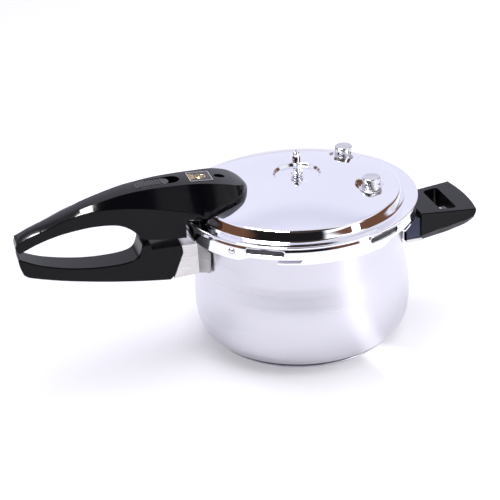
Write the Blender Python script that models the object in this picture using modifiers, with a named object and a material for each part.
"""Stovetop pressure cooker with a turn-to-lock lid, as separate pieces.

Frame: metres, +Z up. The origin is the centre of the base, on the hob. The long
handles reach along -X and the small helper handle along +X.
Positions along the long handles are given as a reach, the distance from the pot's axis.
"""
import math

import bmesh
import bpy
import numpy as np

# ---------------------------------------------------------------- driving dimensions
SEGMENTS = 48            # facets round the pot and the lid
SMALL_SEGMENTS = 14      # facets round screws, valves and pins
GAP = 0.0003             # clearance between pieces that touch on the real object
PLATE = 0.0015           # thickness of the brackets' steel
DEG = math.radians(1.0)

BASE_RADIUS = 0.0972
WALL_RADIUS = 0.1060     # straight upper wall of the pot, outside
FLANGE_RADIUS = 0.1119   # flange all round the pot's mouth
POT_LUG_RADIUS = 0.1170
FLANGE_TOP = 0.1375
LIP_BOTTOM = 0.1318

LUG_COUNT = 5
LUG_PITCH = 360.0 / LUG_COUNT
LUG_FIRST = -129.5       # degrees, middle of the first pair of lugs
POT_LUG_WIDTH = 27.6     # degrees
LID_GAP_WIDTH = 31.5     # degrees, cut-out between two of the lid's lugs

RIM_RADIUS = 0.1225
SKIRT_RADIUS = 0.1206
SKIRT_INNER = 0.1192
SKIRT_BOTTOM = 0.1295
CUTOUT_TOP = 0.1350
DOME_EDGE = 0.1055
DOME_TOP = 0.1755
DOME_DROP = 0.0175
LID_WALL = 0.0014

RECESS_FLOOR = 0.1704
VALVE_REACH = 0.0780
VALVE_ANGLES = {"front": -34.5, "rear": 33.0}
VALVE_POCKET_RADIUS = 0.0150
VALVE_FLOOR = 0.1615
FLOAT_REACH = 0.0815
FLOAT_POCKET_RADIUS = 0.0095
FLOAT_FLOOR = 0.1628

SLIDER_TRAVEL = 0.0105
LOCK_LOW = 0.1345        # underside of the lock bar's tongue
LOCK_HIGH = 0.1367
LEG_REACH = (0.1400, 0.1450)

STEEL = ((0.80, 0.80, 0.84), 0.12, 1.0)
SATIN_STEEL = ((0.72, 0.72, 0.75), 0.30, 1.0)
PLAIN_STEEL = ((0.60, 0.60, 0.62), 0.35, 1.0)
ALUMINIUM = ((0.75, 0.75, 0.76), 0.45, 1.0)
BLACK_MOULDING = ((0.012, 0.012, 0.015), 0.18, 0.0)
SLIDER_MOULDING = ((0.05, 0.05, 0.055), 0.35, 0.0)
SILICONE = ((0.35, 0.35, 0.34), 0.55, 0.0)
GOLD_PLATE = ((0.62, 0.43, 0.22), 0.35, 1.0)

for old in list(bpy.data.objects):
    bpy.data.objects.remove(old, do_unlink=True)

parts = bpy.data.collections.new("pressure_cooker")
cutters = bpy.data.collections.new("cutters")
for collection in (parts, cutters):
    bpy.context.scene.collection.children.link(collection)


# ---------------------------------------------------------------- helpers
def dome_height(radius):
    """Outer height of the domed lid at a distance from its axis."""
    return DOME_TOP - DOME_DROP * (radius / DOME_EDGE) ** 2


def add_object(name, mesh, finish=None, location=(0, 0, 0)):
    """Link a mesh as a part with its finish, or as a cutter when it has none."""
    item = bpy.data.objects.new(name, mesh)
    item.location = location
    if finish is None:
        cutters.objects.link(item)
        item.hide_render = True
        item.display_type = "WIRE"
        return item
    parts.objects.link(item)
    colour, roughness, metallic = finish
    material = bpy.data.materials.new(name)
    material.use_nodes = True
    shader = material.node_tree.nodes["Principled BSDF"]
    shader.inputs["Base Color"].default_value = (*colour, 1.0)
    shader.inputs["Roughness"].default_value = roughness
    shader.inputs["Metallic"].default_value = metallic
    mesh.materials.append(material)
    return item


def mesh_from(bm, name):
    """Turn a bmesh into a mesh whose faces point outwards."""
    bm.normal_update()
    bmesh.ops.recalc_face_normals(bm, faces=bm.faces)
    mesh = bpy.data.meshes.new(name)
    bm.to_mesh(mesh)
    bm.free()
    return mesh


def turned(name, profile, finish=None, centre=(0, 0), steps=SMALL_SEGMENTS):
    """Turn a profile of (radius, height) points, run down its outer side first.

    A profile that starts on the axis also ends there; any other profile is a closed ring.
    """
    bm = bmesh.new()
    points = [bm.verts.new((radius, 0, height)) for radius, height in profile]
    for first, second in zip(points, points[1:]):
        bm.edges.new((first, second))
    if profile[0][0] > 0:
        bm.edges.new((points[-1], points[0]))
    mesh = bpy.data.meshes.new(name)
    bm.to_mesh(mesh)
    bm.free()
    item = add_object(name, mesh, finish, (centre[0], centre[1], 0))
    screw = item.modifiers.new("Turn", "SCREW")
    screw.axis = "Z"
    screw.steps = steps
    screw.render_steps = steps
    screw.use_merge_vertices = True
    screw.merge_threshold = 0.00001
    return item


def arcs(name, profile, centres, width, finish=None, steps=5):
    """Sweep a closed (radius, height) profile through arcs of `width` degrees."""
    bm = bmesh.new()
    for centre in centres:
        start = (centre - width / 2) * DEG
        corners = [
            bm.verts.new((radius * math.cos(start), radius * math.sin(start), height))
            for radius, height in profile
        ]
        face = bm.faces.new(corners)
        geometry = [face, *face.edges, *face.verts]
        bmesh.ops.spin(
            bm, geom=geometry, cent=(0, 0, 0), axis=(0, 0, 1), angle=width * DEG, steps=steps
        )
    return add_object(name, mesh_from(bm, name), finish)


def box(name, low, high, finish=None):
    """A box between two corners."""
    bm = bmesh.new()
    bmesh.ops.create_cube(bm, size=1.0)
    for vert in bm.verts:
        for axis in range(3):
            middle = (low[axis] + high[axis]) / 2
            vert.co[axis] = middle + vert.co[axis] * (high[axis] - low[axis])
    return add_object(name, mesh_from(bm, name), finish)


def handle_box(name, reach, half_width, heights, finish=None, side=-1):
    """A box laid along a handle: side -1 is the long handle, +1 the helper."""
    ends = sorted(side * value for value in reach)
    return box(name, (ends[0], -half_width, heights[0]), (ends[1], half_width, heights[1]), finish)


def rod(name, radius, heights, centre=(0, 0), finish=None, sides=SMALL_SEGMENTS):
    """An upright cylinder or, with six sides, a hexagon."""
    bm = bmesh.new()
    bmesh.ops.create_cone(
        bm, cap_ends=True, segments=sides, radius1=radius, radius2=radius,
        depth=heights[1] - heights[0],
    )
    bmesh.ops.translate(bm, verts=bm.verts, vec=(*centre, (heights[0] + heights[1]) / 2))
    return add_object(name, mesh_from(bm, name), finish)


def combine(item, operand, operation="DIFFERENCE"):
    """Cut one object with another, or join or intersect them."""
    modifier = item.modifiers.new(operation.title() + " " + operand.name, "BOOLEAN")
    modifier.operation = operation
    modifier.solver = "EXACT"
    modifier.object = operand


def smooth(points, pieces=3):
    """Points of a Catmull-Rom curve through the given (reach, height) points."""
    ends = [points[0], *points, points[-1]]
    path = []
    for before, start, finish, after in zip(ends, ends[1:], ends[2:], ends[3:]):
        for piece in range(pieces):
            t = piece / pieces
            path.append(tuple(
                0.5 * (2 * b + (c - a) * t + (2 * a - 5 * b + 4 * c - d) * t * t
                       + (3 * b - a - 3 * c + d) * t ** 3)
                for a, b, c, d in zip(before, start, finish, after)
            ))
    path.append(points[-1])
    return path


def along(reach, table):
    """Value at a reach, read from a table of (reach, value) pairs."""
    places, values = zip(*sorted(table))
    return float(np.interp(reach, places, values))


def slab(name, outline, width_at, finish=None, side=-1):
    """A side outline of (reach, height) points, extruded across the handle.

    width_at gives the half width at a reach and a height.
    """
    curve = bpy.data.curves.new(name + "_outline", "CURVE")
    curve.dimensions = "2D"
    curve.fill_mode = "BOTH"
    curve.extrude = 0.01
    spline = curve.splines.new("POLY")
    spline.points.add(len(outline) - 1)
    for point, (reach, height) in zip(spline.points, outline):
        point.co = (side * reach, height, 0, 1)
    spline.use_cyclic_u = True
    flat = bpy.data.objects.new(name + "_outline", curve)
    cutters.objects.link(flat)
    evaluated = flat.evaluated_get(bpy.context.evaluated_depsgraph_get())
    mesh = bpy.data.meshes.new_from_object(evaluated)
    bpy.data.objects.remove(flat, do_unlink=True)
    bm = bmesh.new()
    bm.from_mesh(mesh)
    bmesh.ops.remove_doubles(bm, verts=bm.verts, dist=0.00001)
    for vert in bm.verts:
        x, height, depth = vert.co
        vert.co = (x, math.copysign(width_at(abs(x), height), depth), height)
    bpy.data.meshes.remove(mesh)
    return add_object(name, mesh_from(bm, name), finish)


# ---------------------------------------------------------------- pot and base
POT_PROFILE = [
    (0.1104, FLANGE_TOP), (FLANGE_RADIUS, 0.1368), (FLANGE_RADIUS, 0.1350),
    (WALL_RADIUS, 0.1346), (WALL_RADIUS, 0.1000), (0.1075, 0.0880), (0.1106, 0.0730),
    (0.1127, 0.0560), (0.1130, 0.0400), (0.1117, 0.0245), (0.1080, 0.0145), (0.1036, 0.0080),
    (0.0965, 0.0046), (0, 0.0046),
]
POT_INSIDE = [
    (0, 0.0062), (0.0960, 0.0062), (0.1024, 0.0092), (0.1066, 0.0156), (0.1101, 0.0250),
    (0.1114, 0.0402), (0.1111, 0.0558), (0.1091, 0.0725), (0.1060, 0.0874), (0.1044, 0.1000),
    (0.1044, 0.1360), (0.1060, FLANGE_TOP),
]


def make_pot():
    """The bellied pot with its flange and five turned-down lugs, and its layered base."""
    outside_first = POT_PROFILE[:-1]
    inside_last = POT_INSIDE[1:]
    shell = turned("pot_body", outside_first + inside_last, STEEL, steps=SEGMENTS)
    floor = rod("pot_floor", 0.0963, (0.0046, 0.0062), sides=SEGMENTS)
    combine(shell, floor, "UNION")
    lug = [
        (0.1090, 0.1352), (0.1155, 0.1352), (0.1155, LIP_BOTTOM),
        (POT_LUG_RADIUS, LIP_BOTTOM), (POT_LUG_RADIUS, 0.1366), (0.1160, 0.1373), (0.1090, 0.1373),
    ]
    centres = [LUG_FIRST + LUG_PITCH * index for index in range(LUG_COUNT)]
    combine(shell, arcs("pot_lugs", lug, centres, POT_LUG_WIDTH), "UNION")

    core_top = 0.0043
    turned("base_core", [
        (0, core_top), (0.0950, core_top), (0.0950, 0.0012), (0, 0.0012),
    ], ALUMINIUM, steps=SEGMENTS)
    turned("base_cap", [
        (0, 0.0009), (0.0953, 0.0009), (0.0953, 0.0040), (BASE_RADIUS, 0.0040),
        (BASE_RADIUS + 0.0004, 0.0030), (BASE_RADIUS, 0.0008), (0.0960, 0), (0, 0),
    ], SATIN_STEEL, steps=SEGMENTS)


# ---------------------------------------------------------------- lid
DOME_RADII = (0.0270, 0.0480, 0.0660, 0.0820, 0.0940)
LID_OUTSIDE = (
    [(0.0044, RECESS_FLOOR), (0.0215, RECESS_FLOOR), (0.0234, 0.1714), (0.0245, 0.1738)]
    + [(radius, dome_height(radius)) for radius in DOME_RADII]
    + [(0.1035, 0.1588), (0.1056, 0.1568), (0.1061, 0.1492), (0.1073, 0.1477), (0.1100, 0.1477),
       (0.1190, 0.1494), (0.1218, 0.1493), (RIM_RADIUS, 0.1483), (0.1222, 0.1471),
       (SKIRT_RADIUS, 0.1462), (SKIRT_RADIUS, SKIRT_BOTTOM)]
)
LID_INSIDE = (
    [(SKIRT_INNER, SKIRT_BOTTOM), (SKIRT_INNER, 0.1466), (0.1182, 0.1478), (0.1100, 0.1462),
     (0.1067, 0.1462), (0.1046, 0.1478), (0.1042, 0.1562), (0.1026, 0.1574)]
    + [(radius, dome_height(radius) - LID_WALL) for radius in DOME_RADII[:0:-1]]
    + [(0.0270, 0.1728), (0.0256, 0.1722), (0.0246, 0.1708), (0.0222, 0.1690), (0.0044, 0.1690)]
)
# Windows in the skirt: middle of each, in degrees from the helper handle.
WINDOW_ANGLES = (-123.5, -63.0, 63.0, 123.5)
WINDOW_WIDTH = 18.7
WINDOW_HEIGHTS = (0.1385, 0.1445)
STOP_ANGLE = -140.3
STOP_HEIGHT = 0.1380


def at_angle(reach, degrees):
    """A point in the plan, at a distance from the axis and an angle from +X."""
    return (reach * math.cos(degrees * DEG), reach * math.sin(degrees * DEG))


def ring_section(inner, outer, low, high):
    """A rectangle as a profile, for a sweep about the axis."""
    return [(inner, low), (outer, low), (outer, high), (inner, high)]


def press_pocket(lid, name, centre, radius, floor, hole, above):
    """Press a flat round pocket with a hole in its floor into the domed lid."""
    combine(lid, rod(name + "_opening", radius, (0.1560, 0.1850), centre))
    cup = turned(name, [
        (radius + GAP, 0.1760), (radius + GAP, floor - LID_WALL), (hole, floor - LID_WALL),
        (hole, floor), (radius - LID_WALL, floor), (radius - LID_WALL, 0.1760),
    ], None, centre)
    combine(cup, above)
    combine(lid, cup, "UNION")


def make_lid():
    """One pressed sheet: recess, dome, step, rim, skirt with windows and five inward lugs."""
    lid = turned("lid_shell", LID_OUTSIDE + LID_INSIDE, STEEL, steps=SEGMENTS)
    sink = 0.00006
    above = turned("above_dome", [
        (0, 0.2000), (0.1500, 0.2000), (0.1500, 0.1400), (0.1080, 0.1400), (0.1056, 0.1560),
        (0.1035, 0.1588 - sink),
        *[(radius, dome_height(radius) - sink) for radius in DOME_RADII[::-1]],
        (0, DOME_TOP - sink),
    ], steps=SEGMENTS)
    for side, angle in VALVE_ANGLES.items():
        centre = at_angle(VALVE_REACH, angle)
        press_pocket(lid, "pocket_" + side, centre, VALVE_POCKET_RADIUS, VALVE_FLOOR, 0.0043, above)
    press_pocket(lid, "pocket_float", (-FLOAT_REACH, 0), FLOAT_POCKET_RADIUS, FLOAT_FLOOR,
                 0.0050, above)

    lug_centres = [LUG_FIRST + LUG_PITCH * index for index in range(LUG_COUNT)]
    gap_centres = [centre + LUG_PITCH / 2 for centre in lug_centres]
    skirt_cut = ring_section(0.1180, 0.1240, 0.1250, CUTOUT_TOP)
    combine(lid, arcs("skirt_cutouts", skirt_cut, gap_centres, LID_GAP_WIDTH))
    lug = ring_section(0.1123, 0.1199, SKIRT_BOTTOM + 0.0001, 0.1314)
    lug_width = LUG_PITCH - LID_GAP_WIDTH - 0.4
    combine(lid, arcs("lid_lugs", lug, lug_centres, lug_width, steps=7), "UNION")
    window = ring_section(0.1180, 0.1240, *WINDOW_HEIGHTS)
    combine(lid, arcs("skirt_windows", window, WINDOW_ANGLES, WINDOW_WIDTH, steps=4))
    combine(lid, handle_box("lock_hole", (0.1150, 0.1260), 0.0085, (LOCK_LOW - 0.0006, 0.1373)))

    stop_profile = [(0, 0.0016), (0.0024, 0.0016), (0.0034, 0.0006), (0.0034, GAP), (0, GAP)]
    stop = turned("lid_stop_rivet", stop_profile, STEEL, steps=12)
    x, y = at_angle(SKIRT_RADIUS, STOP_ANGLE)
    stop.location = (x, y, STOP_HEIGHT)
    stop.rotation_euler = (0, 90 * DEG, STOP_ANGLE * DEG)

    turned("lid_gasket", [
        (0.1187, 0.1450), (0.1187, 0.1384), (0.1176, 0.1378), (0.1080, 0.1378), (0.1072, 0.1386),
        (0.1105, 0.1402), (0.1135, 0.1416), (0.1105, 0.1431), (0.1076, 0.1445), (0.1082, 0.1456),
        (0.1178, 0.1456),
    ], SILICONE, steps=SEGMENTS)


# ---------------------------------------------------------------- vent pipe and relief valves
def make_vent():
    """The steam pipe in the middle of the lid, its nut and its strainer."""
    turned("vent_pipe", [
        (0.0026, 0.1975), (0.0037, 0.1958), (0.0041, 0.1935), (0.0041, 0.1835), (0.0033, 0.1826),
        (0.0033, 0.1755), (0.0050, 0.1748), (0.0065, 0.1738), (0.0065, 0.1707), (0.0040, 0.1707),
        (0.0040, 0.1575), (0.0012, 0.1575), (0.0012, 0.1975),
    ], STEEL)
    nut = rod("vent_nut", 0.0080, (0.1643, 0.1687), finish=PLAIN_STEEL, sides=6)
    combine(nut, rod("vent_nut_bore", 0.0043, (0.1600, 0.1720)))
    strainer = turned("vent_strainer", [
        (0, 0.1552), (0.0056, 0.1552), (0.0060, 0.1560), (0.0060, 0.1638), (0.0070, 0.1638),
        (0.0070, 0.1550), (0.0060, 0.1540), (0, 0.1540),
    ], PLAIN_STEEL)
    for turn in range(2):
        slot = box("strainer_slot_%d" % turn, (-0.0100, -0.0012, 0.1570), (0.0100, 0.0012, 0.1610))
        slot.rotation_euler = (0, 0, 90 * DEG * turn)
        combine(strainer, slot)


def make_coil(name, centre, radius, wire, low, high, turns):
    """A compression spring as a thick wire along a helix."""
    curve = bpy.data.curves.new(name, "CURVE")
    curve.dimensions = "3D"
    curve.bevel_depth = wire
    curve.bevel_resolution = 2
    curve.use_fill_caps = True
    points_per_turn = 8
    count = int(turns * points_per_turn) + 1
    spline = curve.splines.new("POLY")
    spline.points.add(count - 1)
    for index, point in enumerate(spline.points):
        angle = 2 * math.pi * index / points_per_turn
        height = low + (high - low) * index / (count - 1)
        x = centre[0] + radius * math.cos(angle)
        y = centre[1] + radius * math.sin(angle)
        point.co = (x, y, height, 1)
    coil = bpy.data.objects.new(name, curve)
    parts.objects.link(coil)
    material = bpy.data.materials.new(name)
    material.use_nodes = True
    shader = material.node_tree.nodes["Principled BSDF"]
    shader.inputs["Base Color"].default_value = (*PLAIN_STEEL[0], 1.0)
    shader.inputs["Roughness"].default_value = PLAIN_STEEL[1]
    shader.inputs["Metallic"].default_value = PLAIN_STEEL[2]
    curve.materials.append(material)


def make_valve(side, centre):
    """One spring relief valve: seat screwed through the lid, poppet, spring and cap."""
    name = "relief_" + side
    floor = VALVE_FLOOR
    turned(name + "_seat", [
        (0.0080, floor + 0.0050), (0.0080, floor + 0.0017), (0.0104, floor + 0.0017),
        (0.0104, floor + GAP), (0.0040, floor + GAP), (0.0040, 0.1530), (0.0022, 0.1530),
        (0.0022, floor + 0.0050),
    ], PLAIN_STEEL, centre)
    nut = rod(name + "_nut", 0.0072, (0.1553, 0.1598), centre, PLAIN_STEEL, sides=6)
    combine(nut, rod(name + "_nut_bore", 0.0043, (0.1500, 0.1650), centre))
    cap = turned(name + "_cap", [
        (0, 0.1760), (0.0088, 0.1760), (0.0095, 0.1753), (0.0095, floor + 0.0021),
        (0.0083, floor + 0.0021), (0.0083, 0.1748), (0, 0.1748),
    ], STEEL, centre)
    for turn in range(2):
        hole = rod(name + "_hole_%d" % turn, 0.0009, (-0.0120, 0.0120), sides=8)
        hole.location = (*centre, 0.1698)
        hole.rotation_euler = (90 * DEG, 0, (35 + 90 * turn) * DEG)
        combine(cap, hole)
    turned(name + "_poppet", [
        (0, 0.1682), (0.0060, 0.1682), (0.0060, 0.1668), (0.0018, 0.1668), (0.0018, 0.1600),
        (0, 0.1594),
    ], PLAIN_STEEL, centre)
    make_coil(name + "_spring", centre, 0.0048, 0.0004, 0.1689, 0.1741, 3.5)


def make_float():
    """The pressure indicator under the handle's nose: pin, clip and rubber bush."""
    centre = (-FLOAT_REACH, 0)
    floor = FLOAT_FLOOR
    turned("float_bush", [
        (0.0062, floor + 0.0018), (0.0062, floor + GAP), (0.0046, floor + GAP),
        (0.0046, floor - LID_WALL - GAP), (0.0062, floor - LID_WALL - GAP),
        (0.0062, floor - 0.0032), (0.0034, floor - 0.0032), (0.0034, floor + 0.0018),
    ], SILICONE, centre)
    turned("float_pin", [
        (0, 0.1770), (0.0022, 0.1770), (0.0030, 0.1762), (0.0030, 0.1666), (0.0026, 0.1666),
        (0.0026, 0.1650), (0.0030, 0.1650), (0.0030, 0.1548), (0.0055, 0.1548), (0.0055, 0.1515),
        (0, 0.1515),
    ], PLAIN_STEEL, centre)
    turned("float_clip", [
        (0.0050, 0.1663), (0.0050, 0.1653), (0.0029, 0.1653), (0.0029, 0.1663),
    ], PLAIN_STEEL, centre)


# ---------------------------------------------------------------- lid handle
COVER_TOP = [
    (0.2905, 0.1560), (0.2560, 0.1672), (0.2150, 0.1800), (0.1850, 0.1862), (0.1500, 0.1890),
    (0.1200, 0.1885), (0.0950, 0.1865), (0.0770, 0.1830), (0.0640, 0.1785), (0.0560, 0.1730),
]
COVER_BOTTOM = [
    (0.0550, 0.1660), (0.1000, 0.1560), (0.1100, 0.1560), (0.1250, 0.1610), (0.1500, 0.1680),
    (0.1800, 0.1735), (0.2080, 0.1755), (0.2350, 0.1720), (0.2620, 0.1625), (0.2915, 0.1525),
]
COVER_TOP_WIDTH = [
    (0.0550, 0.0060), (0.0580, 0.0110), (0.0640, 0.0170), (0.0720, 0.0215), (0.0860, 0.0215),
    (0.1060, 0.0180), (0.1250, 0.0155), (0.1500, 0.0145), (0.1850, 0.0120), (0.2150, 0.0102),
    (0.2560, 0.0092), (0.2915, 0.0075),
]
COVER_BOTTOM_WIDTH = [
    (0.0550, 0.0080), (0.0580, 0.0140), (0.0640, 0.0225), (0.0720, 0.0280), (0.0860, 0.0310),
    (0.0980, 0.0350), (0.1060, 0.0300), (0.1140, 0.0230), (0.1250, 0.0205), (0.1500, 0.0192),
    (0.1850, 0.0170), (0.2150, 0.0146), (0.2560, 0.0120), (0.2915, 0.0095),
]
UNDER_LOOP = [
    (0.1725, 0.1425), (0.1800, 0.1500), (0.1890, 0.1548), (0.2090, 0.1575), (0.2290, 0.1567),
    (0.2500, 0.1537), (0.2700, 0.1480), (0.2875, 0.1405),
]
BLOCK_END = 0.1235       # reach at which the under-shell stops beside the rim
BRACKET_LOW = 0.1502


def cover_width(reach, height):
    """Half width of the cover: narrower at its top edge than at the parting line."""
    top = along(reach, COVER_TOP)
    bottom = along(reach, COVER_BOTTOM)
    share = min(max((top - height) / (top - bottom), 0), 1)
    upper = along(reach, COVER_TOP_WIDTH)
    return upper + share * (along(reach, COVER_BOTTOM_WIDTH) - upper)


def under_width(reach, height):
    """Half width of the under-shell, drawn in a little towards its lower edge."""
    top = along(reach, COVER_BOTTOM)
    return along(reach, COVER_BOTTOM_WIDTH) - 0.06 * (top - height) - GAP


def make_screw(name, centre, head, shank, radii):
    """A countersunk-style screw standing head down, with a slot across its head."""
    head_radius, shank_radius = radii
    screw = turned(name, [
        (0, shank), (shank_radius, shank), (shank_radius, head[1]), (head_radius, head[1]),
        (head_radius, head[0]), (0, head[0]),
    ], PLAIN_STEEL, centre, steps=14)
    x, y = centre
    low = (x - head_radius * 1.5, y - 0.0005, head[0] - 0.001)
    high = (x + head_radius * 1.5, y + 0.0005, head[0] + 0.0009)
    combine(screw, box(name + "_slot", low, high))


def drill(item, name, centre, head_top, radii, top, low=0.05):
    """A counterbored hole from below for one of the screws."""
    combine(item, rod(name + "_head_hole", radii[0] + GAP, (low, head_top), centre))
    combine(item, rod(name + "_hole", radii[1] + GAP, (low, top), centre))


def make_lid_handle():
    """Cover, under-shell, bracket, screws and badge plate of the handle on the lid."""
    block_screw = ((-0.1580, 0), (0.1362, 0.1402), (0.0042, 0.0022), 0.1745)
    tip_screw = ((-0.2720, 0), (0.1481, 0.1504), (0.0034, 0.0016), 0.1600)

    cover = slab("upper_handle_cover", smooth(COVER_TOP) + COVER_BOTTOM, cover_width,
                 BLACK_MOULDING)
    clear = GAP + 0.0001
    envelope = turned("lid_envelope", [
        (0, 0.1790), (0.0262, 0.1752),
        *[(radius, dome_height(radius) + clear) for radius in DOME_RADII[1:]],
        (0.1037, 0.1592), (0.1061, 0.1572), (0.1066, 0.1500), (0.1300, 0.1500), (0.1300, 0.1200),
        (0, 0.1200),
    ], steps=SEGMENTS)
    combine(cover, envelope)
    centre = (-FLOAT_REACH, 0)
    combine(cover, rod("float_cavity", 0.0068, (0.1500, 0.1822), centre))
    combine(cover, rod("float_window", 0.0045, (0.1700, 0.2000), centre))
    slot_low = 0.1808
    slot_reach = (0.1225, 0.1695)
    half = 0.0086
    combine(cover, handle_box("slider_slot", (slot_reach[0] + half, slot_reach[1] - half), half,
                              (slot_low, 0.2000)))
    for end, reach in enumerate((slot_reach[0] + half, slot_reach[1] - half)):
        combine(cover, rod("slot_end_%d" % end, half, (slot_low, 0.2000), (-reach, 0)))
    leg_room = (LEG_REACH[0] - SLIDER_TRAVEL - 0.0005, LEG_REACH[1] + 0.0005)
    combine(cover, handle_box("cover_leg_room", leg_room, 0.0045, (0.1500, 0.1830)))
    badge_middle = 0.1020
    badge_half = 0.0120
    tilt = math.atan2(0.0022, 2 * badge_half)
    badge_seat = box("badge_seat", (-badge_half - GAP, -0.0121, -0.0007),
                     (badge_half + GAP, 0.0121, 0.0050))
    badge = box("badge_plate", (-badge_half, -0.0118, -0.0004), (badge_half, 0.0118, 0.0007),
                GOLD_PLATE)
    for item in (badge_seat, badge):
        item.location = (-badge_middle, 0, along(badge_middle, COVER_TOP))
        item.rotation_euler = (0, tilt, 0)
    combine(cover, badge_seat)
    drill(cover, "cover_block", block_screw[0], 0.1500, block_screw[2], 0.1750, 0.1490)
    drill(cover, "cover_tip", tip_screw[0], 0.1500, tip_screw[2], 0.1606, 0.1490)

    top_line = [(reach, height - GAP) for reach, height in COVER_BOTTOM[3:]]
    outline = (
        [(BLOCK_END, 0.1602)] + top_line + [(0.2925, 0.1475), (0.2915, 0.1408)]
        + smooth(UNDER_LOOP)[::-1]
        + [(0.1680, 0.1362), (0.1500, 0.1328), (BLOCK_END, 0.1308)]
    )
    under = slab("upper_handle_base", outline, under_width, BLACK_MOULDING)
    channel = (0.1200, LEG_REACH[1] + 0.0030)
    combine(under, handle_box("lock_channel", channel, 0.0084, (LOCK_LOW - 0.0004, 0.1371)))
    combine(under, handle_box("leg_shaft", leg_room, 0.0045, (LOCK_LOW, 0.1800)))
    combine(under, handle_box("bracket_slot", (0.1200, 0.1685), 0.0154,
                              (BRACKET_LOW - GAP, BRACKET_LOW + PLATE + 2 * GAP)))
    drill(under, "base_block", block_screw[0], 0.1406, block_screw[2], 0.1900)
    drill(under, "base_tip", tip_screw[0], 0.1508, tip_screw[2], 0.1900)

    bracket = handle_box("lid_handle_bracket", (0.1075, 0.1680), 0.0150,
                         (BRACKET_LOW, BRACKET_LOW + PLATE), PLAIN_STEEL)
    combine(bracket, handle_box("bracket_leg_room", leg_room, 0.0055, (0.1400, 0.1600)))
    combine(bracket, rod("bracket_hole", 0.0026, (0.1400, 0.1600), block_screw[0]))

    for name, (centre, head, radii, shank) in {
        "lid_handle_screw": block_screw, "lid_handle_tip_screw": tip_screw,
    }.items():
        make_screw(name, centre, head, shank, radii)


def make_lock():
    """The thumb slider and the lock bar that it pushes towards the pot."""
    slider = handle_box("lock_slider", (0.1335 + 0.0082, 0.1690 - 0.0082), 0.0082,
                        (0.1812, 0.1893), SLIDER_MOULDING)
    for end, reach in enumerate((0.1335 + 0.0082, 0.1690 - 0.0082)):
        combine(slider, rod("slider_end_%d" % end, 0.0082, (0.1812, 0.1893), (-reach, 0)), "UNION")
    rib_pitch = 0.0032
    for index in range(8):
        reach = 0.1400 + rib_pitch * index
        rib = handle_box("slider_rib_%d" % index, (reach, reach + 0.0016), 0.0066,
                         (0.1885, 0.1900))
        combine(slider, rib, "UNION")
    combine(slider, handle_box("slider_pocket", (LEG_REACH[0] - GAP, LEG_REACH[1] + GAP), 0.0043,
                               (0.1800, 0.1854)))
    bar = handle_box("lock_bar", (0.1230, LEG_REACH[1] + 0.0020), 0.0080, (LOCK_LOW, LOCK_HIGH),
                     PLAIN_STEEL)
    combine(bar, handle_box("lock_leg", LEG_REACH, 0.0040, (LOCK_LOW + 0.0005, 0.1850)), "UNION")


# ---------------------------------------------------------------- pot handles
GRIP_TOP = [
    (0.2905, 0.1360), (0.2725, 0.1268), (0.2530, 0.1205), (0.2325, 0.1160), (0.2130, 0.1136),
    (0.1930, 0.1130), (0.1800, 0.1145), (0.1735, 0.1180), (0.1702, 0.1240), (0.1685, 0.1300),
]
GRIP_BOTTOM = [
    (0.1400, 0.0860), (0.1650, 0.0895), (0.2050, 0.0972), (0.2450, 0.1062), (0.2740, 0.1152),
    (0.2880, 0.1215), (0.2930, 0.1320),
]
GRIP_WIDTH = [(0.1280, 0.0155), (0.1700, 0.0152), (0.2050, 0.0145), (0.2500, 0.0136),
              (0.2930, 0.0120)]
SADDLE_INNER = 0.1075
SADDLE_OUTER = 0.1090


def make_pot_handle():
    """Saddle bracket, flame guard, grip and screw of the long handle on the pot."""
    bracket = arcs("lower_handle_bracket", ring_section(SADDLE_INNER, SADDLE_OUTER, 0.0905, 0.1220),
                   [180], 26.0, PLAIN_STEEL, steps=6)
    tongue = (0.1050, 0.1050 + PLATE * 2)
    combine(bracket, handle_box("lower_tongue", (0.1083, 0.1660), 0.0120, tongue), "UNION")
    screw = ((-0.1520, 0), (0.0900, 0.0940), (0.0046, 0.0025), 0.1180)
    combine(bracket, rod("lower_tongue_hole", 0.0028, (0.1000, 0.1150), screw[0]))

    guard = slab("lower_flame_guard", [
        (0.1094, 0.1222), (0.1288, 0.1230), (0.1278, 0.1148), (0.1393, 0.0874), (0.1094, 0.0884),
    ], lambda reach, height: 0.0162, SATIN_STEEL)
    combine(guard, handle_box("guard_inside", (0.1000, 0.1500), 0.0150, (0.0894, 0.1212)))

    outline = (
        smooth(GRIP_TOP) + [(0.1600, 0.1296), (0.1592, 0.1243), (0.1296, 0.1236), (0.1284, 0.1150)]
        + GRIP_BOTTOM
    )
    grip = slab("lower_handle_grip", outline, lambda reach, height: along(reach, GRIP_WIDTH),
                BLACK_MOULDING)
    combine(grip, handle_box("grip_pocket", (0.1200, 0.1666), 0.0123,
                             (tongue[0] - GAP, tongue[1] + GAP)))
    drill(grip, "grip", screw[0], 0.0944, screw[2], 0.1184)
    make_screw("lower_handle_screw", screw[0], screw[1], screw[3], screw[2])


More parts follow.
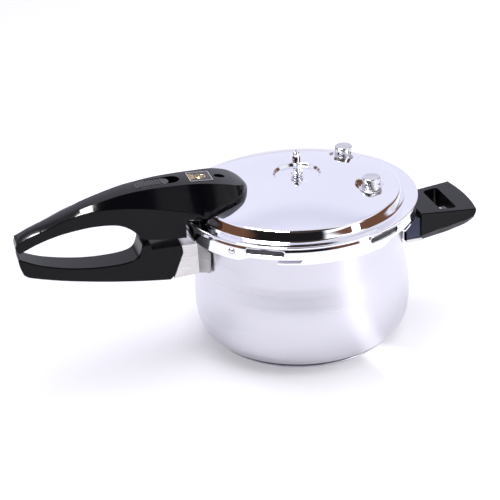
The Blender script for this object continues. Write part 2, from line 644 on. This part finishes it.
def make_helper_handle():
    """Saddle bracket, flame guard, grip and screw of the helper handle opposite."""
    bracket = arcs("helper_bracket", ring_section(SADDLE_INNER, SADDLE_OUTER, 0.0905, 0.1110),
                   [0], 30.0, PLAIN_STEEL, steps=6)
    tongue = (0.0980, 0.0980 + PLATE * 2)
    combine(bracket, handle_box("helper_tongue", (0.1083, 0.1400), 0.0190, tongue, side=1), "UNION")
    screw = ((0.1345, 0), (0.0885, 0.0922), (0.0046, 0.0025), 0.1090)
    combine(bracket, rod("helper_tongue_hole", 0.0028, (0.0900, 0.1150), screw[0]))

    guard = slab("helper_flame_guard", [
        (0.1094, 0.1108), (0.1248, 0.1108), (0.1268, 0.0842), (0.1094, 0.0842),
    ], lambda reach, height: 0.0250, SATIN_STEEL, side=1)
    combine(guard, handle_box("helper_guard_inside", (0.1000, 0.1400), 0.0238, (0.0852, 0.1098),
                              side=1))

    bottom = smooth([(0.1275, 0.0838), (0.1430, 0.0868), (0.1575, 0.0910), (0.1745, 0.0990),
                     (0.1870, 0.1118)], 2)
    outline = [(0.1870, 0.1160), (0.1252, 0.1160)] + bottom
    widths = [(0.1250, 0.0278), (0.1870, 0.0390)]
    grip = slab("helper_grip", outline, lambda reach, height: along(reach, widths),
                BLACK_MOULDING, side=1)
    combine(grip, rod("helper_outer_edge", 0.1862, (0.0700, 0.1300), sides=2 * SEGMENTS),
            "INTERSECT")
    opening = slab("helper_opening", [
        (0.1470, 0.1300), (0.1650, 0.1300), (0.1650, 0.0700), (0.1470, 0.0700),
    ], lambda reach, height: 0.0240 + 0.2 * (reach - 0.1470), side=1)
    combine(grip, opening)
    combine(grip, handle_box("helper_pocket", (0.1200, 0.1405), 0.0193,
                             (tongue[0] - GAP, tongue[1] + GAP), side=1))
    drill(grip, "helper", screw[0], 0.0926, screw[2], 0.1094)
    make_screw("helper_screw", screw[0], screw[1], screw[3], screw[2])


make_pot()
make_lid()
make_vent()
for valve_side, valve_angle in VALVE_ANGLES.items():
    make_valve(valve_side, at_angle(VALVE_REACH, valve_angle))
make_float()
make_lid_handle()
make_lock()
make_pot_handle()
make_helper_handle()
